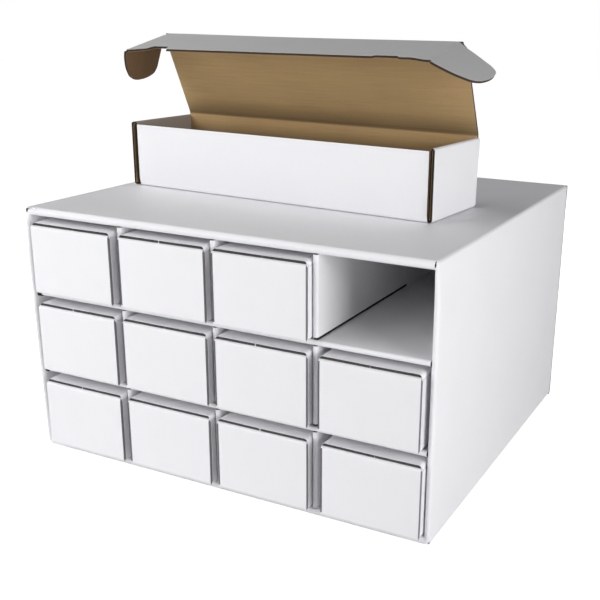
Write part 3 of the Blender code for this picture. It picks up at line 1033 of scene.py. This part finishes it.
class CARDBOX_OT_open_box(bpy.types.Operator):
    """The open card box on the cabinet's roof, with its lid, tuck flap and ears"""
    bl_idname = "cardbox.open_box"
    bl_label = "Open Box"

    def execute(self, context):
        """The tray, and then every panel and fold in turn."""
        tray_place, hinge, crease, ears = open_places()
        tray = Stack()
        add_tray(tray, tray_place, BOX["end"] - OPEN["wall_drop"], sizes().wall_flare, step=5 * MM,
                 lean=OPEN["wall_lean"], opened=True)
        tray.build("open_box_tray", "display_tray", ("display_box_tray",),
                   [*finishes(liner="kraft liner paper, open tray"), finish("dull coated inner ply")])
        self.lid(hinge)
        self.hinge_strip(tray_place)
        self.tuck_flap(crease)
        far = OPEN["lid_half"] - OPEN["corner_in"]
        add_crease("open_box_flap_crease",
                   crease @ turn("y", -OPEN["flap"]) @ ALONG_Y, OPEN["flap"],
                   (OPEN["lid_shift"] - far, OPEN["lid_shift"] + far), stations=40,
                   materials=finishes("greyed coated board"), bow=lid_bow)
        for name, ear in EARS.items():
            self.ear(name, ears[name])
            root = crease @ shift(y=ear["side"] * ear["out"])
            add_crease(f"open_box_ear_crease_{name}",
                       root @ axes((0, ear["side"], 0), (0, 0, 1), (1, 0, 0)), OPEN["ear_" + name],
                       (ear["root"], min(ear["tail"], ear["corner"])),
                       stations=14,
                       materials=finishes("greyed coated board, ear creases", "browned kraft liner"))
        return {"FINISHED"}

    def lid(self, hinge):
        """A flat panel with a slight sag, whose two free corners are drawn in beside the crease."""
        far, wide, ramp = OPEN["lid_half"], OPEN["lid_width"], 6 * MM
        along, across = np.meshgrid(
            np.linspace(-far, far, 41),
            np.linspace(OPEN["lid_foot"], wide, int(wide / sizes().flute_pitch * 11)), indexing="ij")

        def place(reach, station, height):
            narrower = 1 - OPEN["corner_in"] / far * smooth_step((station - wide + ramp) / ramp)
            spot = (station, reach * narrower + OPEN["lid_shift"],
                    height + above_axis() + lid_bow(reach, station))
            return carry(hinge, np.stack(np.broadcast_arrays(*spot), axis=-1))

        lid = Stack()
        add_board(lid, along, across, place)
        lid.build("open_box_lid", "display_lid", ("display_box_lid",),
                  finishes("greyed coated board", "kraft liner paper, open lid"))

    def hinge_strip(self, tray_place):
        """The fold behind the box: a cubic from the top of the hinge wall to the foot of the lid,
        upright at one end and in the lid's direction at the other.
        """
        half, wide, pull = sizes().board / 2, BOX["width"] / 2, 9 * MM
        start = np.array([half - wide - OPEN["wall_lean"], BOX["end"] - OPEN["wall_drop"] + 0.1 * MM])
        lean = np.array([math.cos(math.radians(OPEN["lid"])), math.sin(math.radians(OPEN["lid"]))])
        lift = np.array([-lean[1], lean[0]]) * above_axis()
        end = np.array([-wide, BOX["end"] + OPEN["axis_gap"]]) + OPEN["lid_foot"] * lean + lift
        line = cubic(np.linspace(0, 1, 13)[:, None], start, pull * np.array([0.0, 1.0]), end, pull * lean)
        far = OPEN["lid_half"]
        stack = Stack()
        add_folded(stack, Path(line, 0.0), OPEN["lid_shift"] - far, OPEN["lid_shift"] + far,
                   tray_place @ ALONG_Y, stations=40, step=1 * MM, **PLAIN)
        strip = stack.build("open_box_hinge_fold",
                            materials=finishes("greyed coated board", "kraft liner paper, hinge fold"))
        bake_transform(strip)

    def tuck_flap(self, crease):
        """Along runs from ear to ear, more closely where the free edge steps, and across runs from the
        crease to the free edge's own line.
        """
        gap = OPEN["panel_gap"]
        along = np.unique(np.concatenate([
            np.linspace(gap - EARS["left"]["out"], EARS["right"]["out"] - gap, 220),
            np.linspace(FLAP_STEP[0] - 4 * MM, FLAP_STEP[1] + 5 * MM, 60),
            np.linspace(FLAP_BITE[0] - 3 * MM, FLAP_BITE[1] + 5 * MM, 40)]))[:, None]
        across = gap + np.linspace(0, 1, 64)[None, :] * (flap_edge(along) - gap)

        def place(reach, station, height):
            height = height + above_axis() + lid_bow(reach, station) * (1 - station / (60 * MM))
            return carry(crease, np.stack([station, reach, np.broadcast_to(height, station.shape)], axis=-1))

        stack = Stack()
        add_board(stack, np.broadcast_to(along, across.shape), across, place)
        stack.build("open_box_tuck_flap", "display_tuck_flap", ("display_box_tuck_flap",),
                    finishes("greyed coated board"))

    def ear(self, name, matrix):
        """Along runs down the ear's crease, and across from the crease out to its round edge, which is
        a smooth curve through a few points.
        """
        side, root, gap = EARS[name]["side"], EARS[name]["root"], OPEN["panel_gap"]
        edge = np.array(EAR_EDGE)
        knots = np.concatenate([[0.0], np.cumsum(np.linalg.norm(np.diff(edge, axis=0), axis=1))])
        station = np.linspace(0, knots[-1], 150)
        down, out = (smooth_curve(knots, edge[:, part], station) for part in (0, 1))
        tail = EARS[name]["tail"] - root
        base = root + np.linspace(0, 1, len(station)) * tail
        share = np.linspace(0, 1, 46)[None, :]
        stations = base[:, None] + (root + down * tail - base)[:, None] * share
        out = np.maximum(np.maximum(out, 0.0) * OPEN["ear_reach"], gap + 0.02 * MM)
        reach = gap + (out[:, None] - gap) * share

        def place(outward, downward, height):
            height = height + above_axis() - 0.9 * MM * (outward / OPEN["ear_reach"]) ** 2
            return carry(matrix, np.stack([downward, side * outward,
                                           np.broadcast_to(height, downward.shape)], axis=-1))

        stack = Stack()
        add_board(stack, reach, stations, place)
        stack.build(f"open_box_ear_{name}", f"display_ear_{name}", (f"display_box_ear_{name}",),
                    finishes("greyed coated board, ears", "browned kraft liner"))


class CARDBOX_OT_hidden_flaps(bpy.types.Operator):
    """Finishes for the tuck flaps inside the closed boxes"""
    bl_idname = "cardbox.hidden_flaps"
    bl_label = "Hidden Flaps"

    def execute(self, context):
        material = coated_board("clay coated white board, tuck flaps", colours().white, on_blank=False)
        for name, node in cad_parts.items():
            if name.startswith("drawer_tuck_flap"):
                for slot in node.material_slots:
                    slot.material = material
        return {"FINISHED"}


# The stage

def stand_at(piece, place, right, above, look):
    """Puts a lamp or camera at a place so that it looks along a direction."""
    matrix = axes(right, above, -look)
    matrix[:3, 3] = place
    piece.matrix_world = Matrix(matrix.tolist())


class CARDBOX_OT_stage(bpy.types.Operator):
    """White floor, soft lamps and the camera at the photograph's viewing angle"""
    bl_idname = "cardbox.stage"
    bl_label = "Stage"

    def execute(self, context):
        self.floor()
        self.world(context.scene)
        self.lamps()
        self.camera(context.scene)
        return {"FINISHED"}

    def floor(self):
        """A wide level sheet just under the object. To the camera it is white, and only the object's own
        shadow close by shows on it.
        """
        span = np.linspace(-6.0, 6.0, 61)
        x, y = np.meshgrid(span, span, indexing="ij")
        points = np.stack([x, y, np.full(x.shape, -0.5 * MM)], axis=-1).reshape(-1, 3)
        mesh = bpy.data.meshes.new("studio_floor")
        mesh.from_pydata(points.tolist(), [], grid_quads(np.arange(x.size).reshape(x.shape)).tolist())
        floor = bpy.data.objects.new("studio_floor", mesh)
        bpy.context.scene.collection.objects.link(floor)
        material, tree = new_finish("white studio floor")
        camera_ray = add_node(tree, "ShaderNodeLightPath").outputs["Is Camera Ray"]
        matt = add_node(tree, "ShaderNodeBsdfDiffuse", {"Color": linear("#E8E8E8")})
        glow = add_node(tree, "ShaderNodeEmission", {"Color": (1, 1, 1, 1), "Strength": 1.34})
        seen = add_node(tree, "ShaderNodeMath", {"operation": "MULTIPLY", 0: camera_ray, 1: 0.75})
        both = add_node(tree, "ShaderNodeMixShader",
                        {0: seen.outputs[0], 1: matt.outputs[0], 2: glow.outputs[0]})
        add_node(tree, "ShaderNodeOutputMaterial", {"Surface": both.outputs[0]})
        mesh.materials.append(material)

    def world(self, scene):
        """White to the camera, and a weaker even light on the object."""
        world = bpy.data.worlds.new("soft studio")
        world.use_nodes = True
        tree = world.node_tree
        tree.nodes.clear()
        camera_ray = add_node(tree, "ShaderNodeLightPath").outputs["Is Camera Ray"]
        even, white = (add_node(tree, "ShaderNodeBackground", {"Color": (1, 1, 1, 1), "Strength": strength})
                       for strength in (0.12, 1.0))
        both = add_node(tree, "ShaderNodeMixShader", {0: camera_ray, 1: even.outputs[0], 2: white.outputs[0]})
        add_node(tree, "ShaderNodeOutputWorld", {"Surface": both.outputs[0]})
        scene.world = world

    def lamps(self):
        """Soft lamps: two in front at the left and one at the right, so that upright faces are brighter
        than level ones, one above the roof's left, and one behind that stays below the roof.
        """
        for name, place, aim, width, watts in (
                ("front softbox", (-1.4, -1.9, 0.85), (0.0, 0.0, 0.2), 1.2, 8.0),
                ("low softbox", (-0.6, -1.2, 0.30), (-0.05, 0.0, 0.15), 0.9, 6.5),
                ("side softbox", (1.5, -0.6, 0.50), (0.1, 0.0, 0.2), 0.8, 15.6),
                ("top softbox", (-1.0, -0.4, 1.3), (0.0, 0.0, 0.2), 1.2, 10.0),
                ("back softbox", (-0.35, 1.5, 0.13), (0.0, 0.2, 0.13), 0.22, 8.0)):
            light = bpy.data.lights.new(name, "AREA")
            light.shape = "SQUARE"
            light.size = width
            light.energy = watts
            lamp = bpy.data.objects.new(name, light)
            bpy.context.scene.collection.objects.link(lamp)
            look = np.array(aim) - np.array(place)
            look /= np.linalg.norm(look)
            side = np.cross(look, (0.0, 0.0, 1.0))
            side /= np.linalg.norm(side)
            stand_at(lamp, place, side, np.cross(side, look), look)

    def camera(self, scene):
        """The photograph's view, worked out from the cabinet's corners in it. Focal length and picture
        centre are in the photograph's pixels.
        """
        place = (0.49698, -0.92244, 0.46757)
        azimuth, down, roll = (math.radians(angle) for angle in (26.916, 18.399, 0.615))
        focal, centre_x, centre_y = 942.53, 338.57, 323.10
        look = np.array([-math.sin(azimuth) * math.cos(down), math.cos(azimuth) * math.cos(down),
                         -math.sin(down)])
        side = np.array([math.cos(azimuth), math.sin(azimuth), 0.0])
        up = np.cross(side, look)
        right = side * math.cos(roll) + up * math.sin(roll)
        above = up * math.cos(roll) - side * math.sin(roll)
        lens = bpy.data.cameras.new("photograph view")
        lens.sensor_width = 36.0
        lens.lens = focal / (2 * HALF_IMAGE) * lens.sensor_width
        lens.shift_x = (HALF_IMAGE - centre_x) / (2 * HALF_IMAGE)
        lens.shift_y = (centre_y - HALF_IMAGE) / (2 * HALF_IMAGE)
        lens.clip_end = 50.0
        camera = bpy.data.objects.new("photograph view", lens)
        scene.collection.objects.link(camera)
        stand_at(camera, place, right, above, look)
        scene.camera = camera
        scene.view_settings.view_transform = "Standard"


# The add-on

OPERATORS = (CARDBOX_OT_cabinet_wrap, CARDBOX_OT_cabinet_back, CARDBOX_OT_shelves, CARDBOX_OT_dividers,
             CARDBOX_OT_stored_boxes, CARDBOX_OT_open_box, CARDBOX_OT_hidden_flaps, CARDBOX_OT_stage)


class CARDBOX_PT_panel(bpy.types.Panel):
    """Lists the operators, sizes and colours of the card box"""
    bl_idname = "CARDBOX_PT_panel"
    bl_label = "Card Box"
    bl_space_type = "VIEW_3D"
    bl_region_type = "UI"
    bl_category = "Card Box"

    def draw(self, context):
        for group in (context.scene.card_box_sizes, context.scene.card_box_colours):
            for name in group.__annotations__:
                self.layout.prop(group, name)
        for operator in OPERATORS:
            self.layout.operator(operator.bl_idname)


CLASSES = (CardBoxSizes, CardBoxColours, *OPERATORS, CARDBOX_PT_panel)


def register():
    for entry in CLASSES:
        bpy.utils.register_class(entry)
    bpy.types.Scene.card_box_sizes = PointerProperty(type=CardBoxSizes)
    bpy.types.Scene.card_box_colours = PointerProperty(type=CardBoxColours)


def unregister():
    del bpy.types.Scene.card_box_colours
    del bpy.types.Scene.card_box_sizes
    for entry in reversed(CLASSES):
        bpy.utils.unregister_class(entry)


def main():
    """Builds the whole scene."""
    register()
    for operator in OPERATORS:
        group, name = operator.bl_idname.split(".")
        getattr(getattr(bpy.ops, group), name)()


if __name__ == "__main__":
    main()
